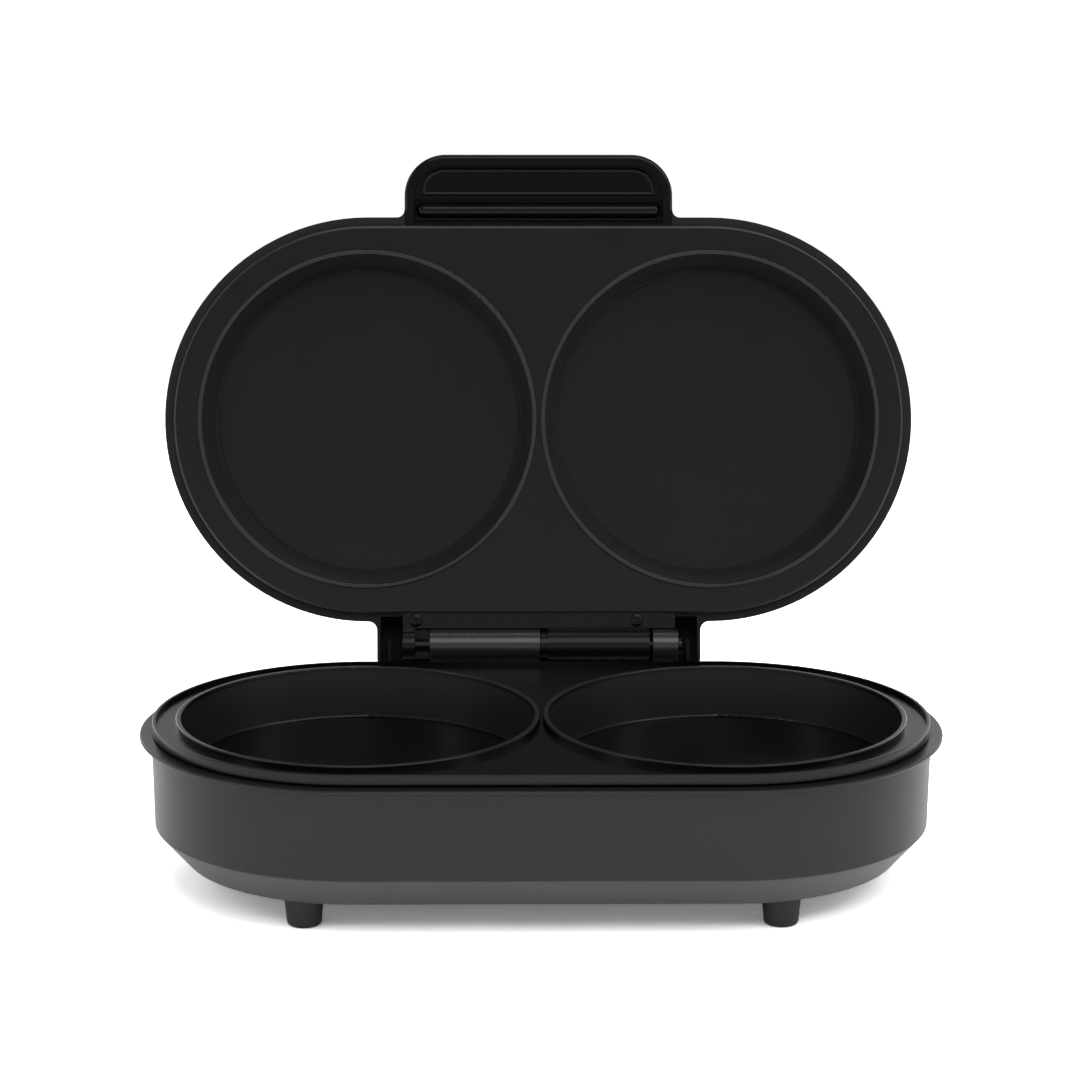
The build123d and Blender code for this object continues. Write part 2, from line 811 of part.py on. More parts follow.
# Base hinge: one casting screwed to the rear wall, with a long barrel and a short collar
stop_y = hinge_y + tail_reach * cos(tilt) + (lid_flange - hinge_z) * sin(tilt) - stop_gap
arm_front = flange_radius + stop_gap
bore_depth = half_spacing
with BuildPart() as base_hinge:
    for start_x, end_x in (base_barrel, base_collar):
        with BuildSketch(side_section(base_frame, start_x)):
            with BuildLine():
                Polyline(
                    (pad_face, hinge_foot_bottom),
                    (pad_face + hinge_foot_thickness, hinge_foot_bottom),
                    (stop_y, hinge_foot_bottom + hinge_foot_height / 2),
                    (stop_y, hinge_z),
                    (hinge_y - barrel_radius / 2, hinge_z - 0.8 * barrel_radius),
                    (arm_front, flange_bottom - stop_gap),
                    (pad_face + under_round, flange_bottom - stop_gap),
                    (pad_face, flange_bottom - under_round - stop_gap),
                    close=True,
                )
            make_face()
            with Locations((hinge_y, hinge_z)):
                Circle(barrel_radius)
        extrude(amount=end_x - start_x)
    # the web under the lid's barrels, level with the arms' backs
    with BuildSketch(side_section(base_frame, lid_ear[0])):
        with Locations((stop_y, hinge_z - barrel_radius - stop_gap)):
            Rectangle(hinge_web, hinge_foot_height / 2 + stop_gap, align=(Align.MAX, Align.MAX))
    extrude(amount=base_collar[0] - lid_ear[0])
    with BuildSketch(side_section(base_frame, base_barrel[0])):
        with Locations((pad_face, hinge_foot_bottom)):
            Rectangle(hinge_foot_thickness, hinge_foot_height - 2 * pad_margin, align=(Align.MIN, Align.MIN))
    extrude(amount=base_collar[1] - base_barrel[0])
    with BuildSketch(side_section(base_frame, 0)):
        with Locations((hinge_y, hinge_z)):
            Circle(pin_radius + pin_seat_gap)
    extrude(amount=bore_depth, both=True, mode=Mode.SUBTRACT)
    with BuildSketch(Plane.XZ.offset(-pad_face)):
        with Locations(*[(x, hinge_screw_z) for x in hinge_screw_x]):
            Circle(hinge_shank_radius + screw_gap)
    extrude(amount=-(hinge_foot_thickness - edge_round), mode=Mode.SUBTRACT)
    # room for the cord inlet, where it comes up to the casting
    with BuildSketch(Plane.XZ.offset(-pad_face)):
        with Locations((0, inlet_height)):
            Circle(inlet_radius + inlet_flange + inlet_clearance)
    extrude(amount=pad_face - stop_y, mode=Mode.SUBTRACT)
save(base_hinge, "base_hinge")

with BuildPart() as base_hinge_screws:
    hinge_screw_seat = Plane(origin=(0, pad_back, 0), x_dir=(-1, 0, 0), z_dir=(0, 1, 0))
    hinge_screw_places = [(-x, hinge_screw_z) for x in hinge_screw_x]
    screws(
        hinge_screw_seat,
        hinge_screw_places,
        hinge_head_radius,
        hinge_head_height,
        hinge_shank_radius,
        pad_thickness + 0.75 * hinge_foot_thickness,
    )
save(base_hinge_screws, "base_hinge_screws")

pin_start = lid_ear[0] - stop_gap
pin_end = base_collar[1] + pin_head_height
with BuildPart() as hinge_pin:
    with BuildSketch(side_section(base_frame, pin_start)):
        with Locations((hinge_y, hinge_z)):
            Circle(pin_radius)
    extrude(amount=pin_end - pin_start)
    with BuildSketch(side_section(base_frame, base_collar[1] + stop_gap)):
        with Locations((hinge_y, hinge_z)):
            Circle(pin_radius + pin_head_height)
    extrude(amount=pin_head_height)
save(hinge_pin, "hinge_pin")

# Lid housing: the base's form turned over, with a box-shaped tail that covers the hinge
tail_end = hinge_y + tail_reach
tail_top = hinge_z + tail_height + tail_wall
leaf_rear = hinge_y - barrel_radius - hinge_gap
leaf_screw_y = hinge_y - leaf_screw_setback
with BuildPart() as lid_housing:
    # the tail's box, with its rear corners rounded
    with BuildSketch(side_section(lid_frame, -tail_half_width)):
        with BuildLine():
            Polyline(
                (lid_crease_radius - lid_shell, lid_flange),
                (tail_end, lid_flange),
                (tail_end, tail_top - tail_edge),
                (tail_end - tail_edge, tail_top),
                (lid_crease_radius - lid_shell, tail_top + tail_rise),
                close=True,
            )
        make_face()
    extrude(amount=2 * tail_half_width)
    tail_edges = lid_housing.faces().sort_by(lid_depth_axis)[-1].edges()
    fillet([e for e in tail_edges if abs((e % 0).dot(lid_frame.z_dir)) > 0.9], tail_corner)
    stack(
        lid_frame,
        [(lid_wall_radius, lid_flange_top), (lid_crease_radius, lid_crease), (lid_crown_radius, lid_top)],
    )
    # the flange, blended into the tail
    with BuildSketch(lid_frame.offset(lid_flange)) as lid_flange_sketch:
        SlotCenterToCenter(well_spacing, 2 * lid_flange_radius)
        with Locations((0, lid_wall_radius)):
            Rectangle(
                2 * tail_half_width,
                lid_flange_width + tail_blend + edge_round,
                align=(Align.CENTER, Align.MIN),
            )
        with Locations((0, -lid_wall_radius)):
            Rectangle(handle_width, lid_flange_width + 2 * handle_flare, align=(Align.CENTER, Align.MAX))
        for x, y, blend in (
            (tail_half_width, lid_flange_radius, tail_blend),
            (handle_width / 2, -lid_flange_radius, handle_flare),
        ):
            for way in (-1, 1):
                fillet(lid_flange_sketch.vertices().sort_by_distance((way * x, y))[0], blend)
    extrude(amount=lid_flange_thickness)
    # hollow inside, and open below
    stack(
        lid_frame,
        [
            (lid_wall_radius - lid_shell, lid_flange),
            (lid_wall_radius - lid_shell, lid_flange_top),
            (lid_crease_radius - lid_shell, lid_crease),
            (lid_crown_radius - lid_shell, lid_top - lid_shell),
        ],
        mode=Mode.SUBTRACT,
    )
    with BuildSketch(side_section(lid_frame, -tail_half_width + tail_wall)):
        with BuildLine():
            Polyline(
                (lid_wall_radius + tail_wall, lid_flange),
                (tail_end - tail_wall, lid_flange),
                (tail_end - tail_wall, tail_top - tail_edge - tail_wall / 2),
                (tail_end - tail_edge - tail_wall / 2, tail_top - tail_wall),
                (lid_wall_radius + tail_wall, tail_top + tail_rise - 2 * tail_wall),
                close=True,
            )
        make_face()
    extrude(amount=2 * (tail_half_width - tail_wall), mode=Mode.SUBTRACT)
    # the seat and screw bosses of the hinge leaf, and two ribs in the tail
    with BuildSketch(lid_frame.offset(lid_flange)):
        with Locations((0, leaf_rear)):
            Rectangle(
                2 * leaf_half_width,
                leaf_rear - lid_wall_radius + lid_shell / 2,
                align=(Align.CENTER, Align.MAX),
            )
    extrude(amount=leaf_seat)
    with BuildSketch(lid_frame.offset(lid_flange)):
        with Locations(*[(x, leaf_screw_y) for x in leaf_screw_x]):
            Circle(leaf_boss_radius)
    extrude(amount=tail_top - lid_flange)
    with BuildSketch(lid_frame.offset(lid_flange)):
        with Locations(*[(x, leaf_screw_y) for x in leaf_screw_x]):
            Circle(small_shank_radius + screw_gap)
    extrude(amount=small_shank_length, mode=Mode.SUBTRACT)
    for way in (-1, 1):
        with BuildSketch(side_section(lid_frame, way * (leaf_half_width + tail_rib_inset))):
            with Locations((tail_end - tail_wall, lid_flange + stop_gap)):
                Rectangle(tail_rib_length, tail_height / 2, align=(Align.MAX, Align.MIN))
        extrude(amount=tail_rib / 2, both=True)
    # catches for the plate's hooks, and pads for the heat shield
    for x in (-hook_x, hook_x):
        with BuildSketch(side_section(lid_frame, x)):
            with Locations((-lid_wall_radius + lid_shell / 2, hook_top - hook_barb_height - catch_gap)):
                Rectangle(
                    lid_shell / 2 + hook_clearance - 2 * catch_gap,
                    catch_thickness,
                    align=(Align.MIN, Align.MAX),
                )
        extrude(amount=hook_half_width, both=True)
    with BuildSketch(lid_frame.offset(lid_shield_height)):
        with Locations(*well_places):
            with GridLocations(1, 2 * post_y, 1, 2):
                Circle(shield_pad_radius)
    extrude(amount=tray_stand + lid_shell / 2)
    # the notch that the handle's root fills, the holes of the lights and the handle's screws
    with BuildSketch(lid_frame.offset(lid_flange)):
        with Locations((0, -lid_wall_radius)):
            Rectangle(
                handle_width + 2 * root_gap,
                lid_flange_width + 3 * handle_flare,
                align=(Align.CENTER, Align.MAX),
            )
    extrude(amount=lid_flange_thickness, mode=Mode.SUBTRACT)
    with BuildSketch(lid_frame.offset(lid_top)):
        with Locations((-light_x, light_y), (light_x, light_y)):
            Circle(light_radius + screw_gap)
    extrude(amount=-lid_shell, mode=Mode.SUBTRACT)
    handle_screw_z = lid_flange + handle_height - handle_screw_drop
    handle_screw_places = [(-handle_screw_x, handle_screw_z), (handle_screw_x, handle_screw_z)]
    with BuildSketch(front_section(lid_frame, 0, -lid_crown_radius)):
        with Locations(*handle_screw_places):
            Circle(small_shank_radius + screw_gap)
    extrude(amount=lid_flange_radius - lid_crown_radius, mode=Mode.SUBTRACT)
save(lid_housing, "lid_housing")

# Hinge leaf: fills the gap between the upper plate and the barrels, and carries the lid's barrels
with BuildPart() as lid_hinge_leaf:
    with BuildSketch(lid_frame.offset(lid_flange - insert_gap)):
        with Locations((0, lid_plate_radius + insert_gap)):
            Rectangle(
                2 * leaf_half_width,
                leaf_rear - lid_plate_radius - insert_gap,
                align=(Align.CENTER, Align.MIN),
            )
    extrude(amount=-leaf_thickness)
    with BuildSketch(lid_frame.offset(lid_flange - insert_gap)):
        with Locations((0, lid_plate_radius)):
            Rectangle(2 * leaf_half_width, leaf_lap + 2 * insert_gap, align=(Align.CENTER, Align.MIN))
    extrude(amount=-lid_deck_thickness / 3 - lid_skirt_gap, mode=Mode.SUBTRACT)
    leaf_front_z = lid_flange - insert_gap - leaf_thickness
    for start_x, end_x, radius in ((*lid_barrel, barrel_radius), (*lid_ear, lid_ear_radius)):
        with BuildSketch(side_section(lid_frame, start_x)):
            with Locations((hinge_y, hinge_z)):
                Circle(radius)
            with BuildLine():
                Polyline(
                    (leaf_rear - hinge_gap, leaf_front_z),
                    (hinge_y - 0.8 * radius, hinge_z - 0.55 * radius),
                    (hinge_y, hinge_z),
                    (hinge_y - 0.3 * radius, hinge_z + 0.85 * radius),
                    (leaf_rear + insert_gap, lid_flange - insert_gap),
                    (leaf_rear - hinge_gap, lid_flange - insert_gap),
                    close=True,
                )
            make_face()
        extrude(amount=end_x - start_x)
    # the web that closes the gap between the ear and the base's barrel, behind the pin
    web_start = lid_ear[1] - edge_round
    with BuildSketch(lid_frame.offset(hinge_z + pin_radius + stop_gap)):
        with Locations((web_start, leaf_rear + 2 * hinge_gap)):
            Rectangle(base_barrel[0] - hinge_gap - web_start, web_length, align=(Align.MIN, Align.MIN))
    extrude(amount=web_thickness)
    with BuildSketch(side_section(lid_frame, lid_neck_start)):
        with Locations((hinge_y, hinge_z)):
            Circle(lid_neck_radius)
    extrude(amount=lid_barrel[0] - lid_neck_start)
    with BuildSketch(side_section(lid_frame, 0)):
        with Locations((hinge_y, hinge_z)):
            Circle(pin_radius + pin_bore_gap)
    extrude(amount=bore_depth, both=True, mode=Mode.SUBTRACT)
    with BuildSketch(lid_frame.offset(leaf_front_z)):
        with Locations(*[(x, leaf_screw_y) for x in leaf_screw_x]):
            Circle(small_shank_radius + screw_gap)
    extrude(amount=leaf_thickness, mode=Mode.SUBTRACT)
    with BuildSketch(lid_frame.offset(leaf_front_z)):
        with Locations(*[(x, leaf_screw_y) for x in leaf_screw_x]):
            Circle(leaf_head_radius + screw_gap)
    extrude(amount=leaf_head_seat, mode=Mode.SUBTRACT)
save(lid_hinge_leaf, "lid_hinge_leaf")

with BuildPart() as hinge_leaf_screws:
    leaf_screw_places = [(x, leaf_screw_y) for x in leaf_screw_x]
    screws(
        lid_frame.offset(leaf_front_z + leaf_head_seat),
        leaf_screw_places,
        leaf_head_radius,
        leaf_head_height,
        small_shank_radius,
        small_shank_length,
    )
save(hinge_leaf_screws, "hinge_leaf_screws")

# Handle: a glossy shell with a hollow underside, closed by a dished insert with a finger roll
handle_front = -lid_flange_radius - handle_reach
pocket_front = handle_front + handle_front_wall
pocket_rear = -lid_wall_radius - handle_wall
pocket_half = handle_width / 2 - handle_side_wall
pocket_corner = handle_corner - handle_side_wall
with BuildPart() as handle:
    with BuildSketch(lid_frame.offset(lid_flange)) as handle_outline:
        with Locations((0, handle_front)):
            Rectangle(handle_width, -lid_crown_radius - handle_front, align=(Align.CENTER, Align.MIN))
        fillet(handle_outline.vertices().group_by(Axis.Y)[0], handle_corner)
    extrude(amount=handle_height)
    for end_face, round_radius in ((-1, handle_edge), (0, handle_under_edge)):
        end_edges = handle.faces().sort_by(lid_height_axis)[end_face].edges()
        rear_edge = end_edges.sort_by(lid_depth_axis)[-1]
        fillet([e for e in end_edges if e != rear_edge], round_radius)
    # the square root that fills the notch of the lid's flange
    with BuildSketch(lid_frame.offset(lid_flange)):
        with Locations((0, -lid_flange_radius - handle_flare)):
            Rectangle(
                handle_width,
                lid_flange_radius + handle_flare - lid_crown_radius,
                align=(Align.CENTER, Align.MIN),
            )
    extrude(amount=handle_under_edge)
    stack(
        lid_frame,
        [
            (lid_wall_radius + insert_gap, lid_flange),
            (lid_wall_radius + insert_gap, lid_flange_top),
            (lid_crease_radius + insert_gap, lid_crease),
        ],
        mode=Mode.SUBTRACT,
    )
    with BuildSketch(lid_frame.offset(lid_flange)) as pocket:
        with Locations((0, pocket_front)):
            Rectangle(2 * pocket_half, pocket_rear - pocket_front, align=(Align.CENTER, Align.MIN))
        fillet(pocket.vertices().group_by(Axis.Y)[0], pocket_corner)
    extrude(amount=handle_height - handle_wall, mode=Mode.SUBTRACT)
    # the slot between the insert and the lid's wall
    with BuildSketch(lid_frame.offset(lid_flange)):
        with Locations((0, pocket_rear)):
            Rectangle(2 * pocket_half, rear_slot_width, align=(Align.CENTER, Align.MIN))
    extrude(amount=rear_slot_depth, mode=Mode.SUBTRACT)
    # bosses for the screws that come through the lid's front wall
    with BuildSketch(front_section(lid_frame, 0, pocket_rear)):
        with Locations(*handle_screw_places):
            Circle(handle_boss_radius)
    extrude(amount=handle_boss_length)
    with BuildSketch(front_section(lid_frame, 0, -lid_crown_radius)):
        with Locations(*handle_screw_places):
            Circle(small_shank_radius + screw_gap)
    extrude(amount=-pocket_rear + handle_boss_length - lid_crown_radius, mode=Mode.SUBTRACT)
save(handle, "handle")

with BuildPart() as handle_screws:
    wall_inside = lid_shell - lid_crease_radius
    handle_screw_seat = front_section(lid_frame, 0, wall_inside + insert_seat)
    screws(
        handle_screw_seat,
        handle_screw_places,
        handle_head_radius,
        handle_head_height,
        small_shank_radius,
        handle_shank_length,
    )
save(handle_screws, "handle_screws")

insert_half = pocket_half - insert_gap
insert_front = pocket_front + insert_gap
insert_rear = pocket_rear - insert_gap
insert_face = lid_flange + insert_seat
dish_front = insert_front + dish_rim
dish_rear = dish_front + dish_length
channel_front = dish_rear + dish_crest
channel_rear = insert_rear - rear_rim_width
channel_depth = insert_depth - insert_seat - insert_sheet
roll_y = -lid_flange_radius - grip_roll_inset
roll_z = insert_face + grip_roll_radius
roll_half = insert_half - grip_roll_margin - grip_roll_radius
with BuildPart() as handle_insert:
    with BuildSketch(lid_frame.offset(insert_face)) as insert_outline:
        with Locations((0, insert_front)):
            Rectangle(2 * insert_half, insert_rear - insert_front, align=(Align.CENTER, Align.MIN))
        fillet(insert_outline.vertices().group_by(Axis.Y)[0], pocket_corner - insert_gap)
    extrude(amount=insert_depth - insert_seat)
    # the dish, with its floor rounded into the sides
    with BuildSketch(lid_frame.offset(insert_face)) as dish_outline:
        with Locations((0, dish_front)):
            Rectangle(2 * (insert_half - dish_inset), dish_length, align=(Align.CENTER, Align.MIN))
        fillet(dish_outline.vertices().group_by(Axis.Y)[0], dish_corner)
    extrude(amount=dish_depth, mode=Mode.SUBTRACT)
    dish_middle = lid_frame.from_local_coords((0, (dish_front + dish_rear) / 2, insert_face + dish_depth))
    fillet(handle_insert.faces().sort_by_distance(dish_middle)[0].edges(), dish_round)
    # the channel behind the dish, and the finger roll on its web
    with BuildSketch(lid_frame.offset(insert_face)):
        with Locations((0, channel_front)):
            Rectangle(2 * insert_half, channel_rear - channel_front, align=(Align.CENTER, Align.MIN))
    extrude(amount=channel_depth, mode=Mode.SUBTRACT)
    with BuildSketch(side_section(lid_frame, -roll_half)):
        with Locations((roll_y, roll_z)):
            Circle(grip_roll_radius)
            Rectangle(grip_web, channel_depth - grip_roll_radius, align=(Align.CENTER, Align.MIN))
    extrude(amount=2 * roll_half)
    with Locations(*[lid_frame.from_local_coords((i * roll_half, roll_y, roll_z)) for i in (-1, 1)]):
        Sphere(grip_roll_radius)
save(handle_insert, "handle_insert")

# Indicator lights on the lid's top, and their lamps
for light_name, x in (("power_light", -light_x), ("ready_light", light_x)):
    light_section = front_section(lid_frame, x, light_y)
    lens_seat = lid_top - lid_shell
    with BuildPart() as light:
        with BuildSketch(light_section):
            with BuildLine():
                Polyline(
                    (light_radius, lid_top),
                    (light_radius, lens_seat),
                    (light_radius + light_flange, lens_seat),
                    (light_radius + light_flange, lens_seat - light_flange),
                    (0, lens_seat - light_flange),
                    (0, lid_top + light_rise),
                )
                ThreePointArc(
                    (0, lid_top + light_rise),
                    (light_radius / 2, lid_top + 0.8 * light_rise),
                    (light_radius, lid_top),
                )
            make_face()
        revolve(axis=upright(light_section))
    save(light, light_name)

with BuildPart() as indicator_lamps:
    with BuildSketch(lid_frame.offset(lens_seat - light_flange - screw_gap)):
        with Locations((-light_x, light_y), (light_x, light_y)):
            Circle(lamp_radius)
    extrude(amount=-lamp_length)
save(indicator_lamps, "indicator_lamps")
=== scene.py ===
import json
from math import cos, pi, radians, sin

import bmesh
import bpy
from mathutils import Matrix, Vector


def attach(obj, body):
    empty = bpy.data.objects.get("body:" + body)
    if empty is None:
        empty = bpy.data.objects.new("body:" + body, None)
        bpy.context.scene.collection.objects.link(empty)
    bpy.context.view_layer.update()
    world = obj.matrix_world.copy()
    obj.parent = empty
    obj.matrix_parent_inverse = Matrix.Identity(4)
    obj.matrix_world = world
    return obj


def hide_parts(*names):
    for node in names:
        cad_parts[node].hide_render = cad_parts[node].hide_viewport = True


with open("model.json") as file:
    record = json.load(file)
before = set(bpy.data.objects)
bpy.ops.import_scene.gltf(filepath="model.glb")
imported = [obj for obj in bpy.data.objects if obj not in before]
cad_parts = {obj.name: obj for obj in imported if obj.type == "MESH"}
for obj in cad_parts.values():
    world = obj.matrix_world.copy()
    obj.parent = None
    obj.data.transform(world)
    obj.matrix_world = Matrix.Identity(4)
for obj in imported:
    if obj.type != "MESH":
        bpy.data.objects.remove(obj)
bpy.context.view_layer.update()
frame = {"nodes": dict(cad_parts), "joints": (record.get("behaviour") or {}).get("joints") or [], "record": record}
nodes = frame["nodes"]
print("frame loaded:", len(nodes), "nodes")


# Shader maths and nodes

class Amount:
    # a number socket, so that shader maths reads as plain expressions
    def __init__(self, paint, socket):
        self.paint = paint
        self.socket = socket

    def __add__(self, other):
        return self.paint.maths("ADD", self, other)

    def __radd__(self, other):
        return self.paint.maths("ADD", other, self)

    def __sub__(self, other):
        return self.paint.maths("SUBTRACT", self, other)

    def __rsub__(self, other):
        return self.paint.maths("SUBTRACT", other, self)

    def __mul__(self, other):
        return self.paint.maths("MULTIPLY", self, other)

    def __rmul__(self, other):
        return self.paint.maths("MULTIPLY", other, self)


class Paint:
    # one material or world, with a method for any of its nodes
    def __init__(self, name, tree=None):
        if tree is None:
            self.material = bpy.data.materials.new(name)
            self.material.use_nodes = True
        self.tree = tree or self.material.node_tree
        self.tree.nodes.clear()

    def node(self, kind, settings=None, **inputs):
        # an input is named as its socket is, or i0, i1 and so on by its place
        made = self.tree.nodes.new(kind)
        for key, value in (settings or {}).items():
            setattr(made, key, value)
        for key, value in inputs.items():
            numbered = key[0] == "i" and key[1:].isdigit()
            self.feed(made.inputs[int(key[1:]) if numbered else key.replace("_", " ")], value)
        return made

    def feed(self, socket, value):
        if isinstance(value, Amount):
            self.tree.links.new(value.socket, socket)
        elif isinstance(value, bpy.types.NodeSocket):
            self.tree.links.new(value, socket)
        else:
            socket.default_value = value

    def amount(self, socket):
        return Amount(self, socket)

    def maths(self, operation, *values):
        made = self.node("ShaderNodeMath", {"operation": operation})
        for socket, value in zip(made.inputs, values):
            self.feed(socket, value)
        return self.amount(made.outputs[0])

    def place(self):
        return self.node("ShaderNodeTexCoord").outputs["Object"]

    def parts(self, place):
        made = self.node("ShaderNodeSeparateXYZ", i0=place)
        return [self.amount(socket) for socket in made.outputs]

    def noise(self, scale, detail=3.0):
        made = self.node("ShaderNodeTexNoise", Vector=self.place(), Scale=scale, Detail=detail)
        return self.amount(made.outputs["Fac"])

    def between(self, factor, first, second):
        made = self.node("ShaderNodeMix", {"data_type": "RGBA"}, i0=factor, i6=first, i7=second)
        return made.outputs[2]

    def ramp(self, value, low, high):
        # 0 up to low and 1 from high on, with a smooth rise between them
        settings = {"interpolation_type": "SMOOTHSTEP"}
        made = self.node("ShaderNodeMapRange", settings, Value=value, From_Min=low, From_Max=high)
        return self.amount(made.outputs["Result"])

    def mixed(self, factor, first, second):
        return self.node("ShaderNodeMixShader", i0=factor, i1=first.outputs[0], i2=second.outputs[0])

    def bump(self, height, distance):
        return self.node("ShaderNodeBump", Height=height, Distance=distance).outputs["Normal"]

    def finish(self, shader):
        output = self.node("ShaderNodeOutputMaterial")
        self.tree.links.new(shader.outputs[0], output.inputs["Surface"])
        return self.material


def grey(level):
    return (level, level, level, 1.0)


# Camera at the photograph's place
cameraValues = {
    "place": (-0.01475, -1.22049, 0.4154),
    "pitch": 13.15,
    "yaw": 0.66,
    "roll": 0.11,
    "focalPixels": 3389.0,
    "framePixels": 1080,
    "sensor": 36.0,
    "farthest": 50.0,
}


def addCamera(v):
    pitch, yaw, roll = radians(v["pitch"]), radians(v["yaw"]), radians(v["roll"])
    ahead = Vector((sin(yaw) * cos(pitch), cos(yaw) * cos(pitch), -sin(pitch)))
    level = Vector((cos(yaw), -sin(yaw), 0))
    up = level.cross(ahead)
    right = level * cos(roll) + up * sin(roll)
    up = right.cross(ahead)
    data = bpy.data.cameras.new("camera")
    data.sensor_width = v["sensor"]
    data.sensor_fit = "HORIZONTAL"
    data.lens = v["focalPixels"] * v["sensor"] / v["framePixels"]
    data.clip_end = v["farthest"]
    camera = bpy.data.objects.new("camera", data)
    turn = Matrix((right, up, -ahead)).transposed().to_4x4()
    camera.matrix_world = Matrix.Translation(v["place"]) @ turn
    bpy.context.scene.collection.objects.link(camera)
    bpy.context.scene.camera = camera


addCamera(cameraValues)
print("camera placed")


# The lid stands open at rest, and the joint's last angle closes it
hinge = next(joint for joint in frame["joints"] if joint["name"] == "lid_hinge")
hingePlace = Vector(hinge["pos_m"])
closing = radians(hinge["range_deg"][1])


def fromClosed(place):
    # a place on the closed lid, taken to where it is at rest
    return hingePlace + Matrix.Rotation(-closing, 3, "X") @ (Vector(place) - hingePlace)


def toClosed(place):
    return hingePlace + Matrix.Rotation(closing, 3, "X") @ (Vector(place) - hingePlace)


# Finishes: clouds between two colours, a dullness that wanders by its spread, and a fine grain

def coat(paint, v, zones=()):
    # a zone is a mask with another colour and how much duller it is
    colour = paint.between(paint.noise(v["cloudScale"], v["cloudDetail"]), v["dark"], v["light"])
    dullness = paint.noise(v["dullScale"]) * v["spread"] + (v["roughness"] - v["spread"] / 2)
    for mask, zoneColour, duller in zones:
        colour = paint.between(mask, colour, grey(zoneColour))
        dullness = mask * duller + dullness
    grain = paint.noise(v["grainScale"], v["grainDetail"])
    shader = paint.node(
        "ShaderNodeBsdfPrincipled",
        Base_Color=colour,
        Metallic=v["metallic"],
        Roughness=dullness,
        Normal=paint.bump(grain, v["grain"]),
        IOR=v["refraction"],
    )
    return paint.finish(shader)


ordinary = {"metallic": 0.0, "refraction": 1.5, "cloudDetail": 3.0, "grainDetail": 2.0}

# Moulded housings of base and lid
moulded = {
    **ordinary,
    "cloudScale": 18.0,
    "cloudDetail": 2.0,
    "dullScale": 60.0,
    "spread": 0.06,
    "roughness": 0.34,
    "refraction": 1.40,
    "grainScale": 2600.0,
    "grain": 0.00003,
}
baseShell = {
    **moulded,
    "dark": grey(0.0125),
    "light": grey(0.0165),
    # painted reflection of the floor: the paler colour of the slanted foot
    "footPaintedLightColour": 0.083,
    "footTop": 0.0226,
    "footBlend": 0.0016,
}
lidShell = {
    **moulded,
    "dark": grey(0.008),
    "light": grey(0.012),
    # painted shade in the tail's hollow, also the darker colour of the rim
    "tailShadeAndRimColour": 0.003,
    "insideDuller": 0.5,
    "insideWidth": 0.0638,
    "insideBack": (0.0815, 0.0996),
    "insideFront": 0.0674,
    "roofSlope": 0.38,
    "roofHeight": 0.1109,
    "rimHeight": 0.0679,
    "rimShare": 0.7,
    "blend": 0.0004,
}


def basePaint(v):
    # the slanted foot of the wall is painted paler, a painted reflection of the bright floor below it
    paint = Paint("housing")
    height = paint.parts(paint.place())[2]
    foot = 1 - paint.ramp(height, v["footTop"], v["footTop"] + v["footBlend"])
    return coat(paint, v, [(foot, v["footPaintedLightColour"], 0.0)])


def closedParts(paint):
    # sideways, back and height on the closed lid, for a paint on a node of the lid
    sideways, back, height = paint.parts(paint.place())
    back, rise = back - hingePlace.y, height - hingePlace.z
    closedBack = back * cos(closing) - rise * sin(closing) + hingePlace.y
    closedHeight = back * sin(closing) + rise * cos(closing) + hingePlace.z
    return sideways, closedBack, closedHeight


def lidPaint(v):
    # the tail's hollow is painted darker, a painted shade, and duller; the rim round the plate is darker and
    # duller too
    paint = Paint("lid_shell")
    sideways, back, height = closedParts(paint)

    def above(value, start):
        return paint.ramp(value, start, start + v["blend"])

    start, end = v["insideBack"]
    roof = back * v["roofSlope"] + height
    inside = 1 - above(paint.maths("ABSOLUTE", sideways), v["insideWidth"])
    inside = inside * above(back, start) * (1 - above(back, end))
    inside = inside * above(height, v["insideFront"]) * (1 - above(roof, v["roofHeight"]))
    rim = (1 - above(height, v["rimHeight"])) * v["rimShare"]
    dark = paint.maths("MAXIMUM", inside, rim)
    return coat(paint, v, [(dark, v["tailShadeAndRimColour"], v["insideDuller"])])


# Nonstick coat of the two plates with painted light in rings, also duller on steep walls: painted highlights on
# ridges, lips and the edge, painted reflections on the walls, and painted shade in the lid's corner.
# A ring starts, is full, fades and ends at these distances from the middle of its round form,
# and then come its colour and how much duller it is. The edge follows the plate's oval instead.
nonstick = {
    **ordinary,
    "roundPlace": 0.0686,
    "cloudScale": 25.0,
    "dullScale": 90.0,
    "spread": 0.08,
    "roughness": 0.24,
    "refraction": 1.38,
    "grainScale": 900.0,
    "grain": 0.00002,
}
upperCoat = {
    **nonstick,
    "dark": grey(0.0038),
    "light": grey(0.0062),
    "paintedLightRings": {
        # painted shade in the corner, a painted reflection on the wall, painted highlights on the ridge and the
        # edge
        "corner": (0.0596, 0.0606, 0.0618, 0.0622, 0.003, 0.45),
        "wall": (0.0618, 0.0622, 0.0657, 0.0660, 0.024, 0.20),
        "ridge": (0.0660, 0.0664, 0.0674, 0.0678, 0.034, 0.0),
        "edge": (0.0764, 0.0767, 0.0773, 0.0776, 0.034, 0.0),
    },
}
# the lower plate's coat is painted darker than the upper's, a painted shade of the same coat
shadedLowerCoat = {
    **nonstick,
    "dark": grey(0.0012),
    "light": grey(0.0024),
    "paintedLightRings": {
        # a painted reflection on the well walls and painted highlights on the lips
        "wall": (0.0630, 0.0633, 0.0657, 0.0660, 0.012, 0.08),
        "lip": (0.0660, 0.0663, 0.0676, 0.0681, 0.020, 0.0),
    },
}


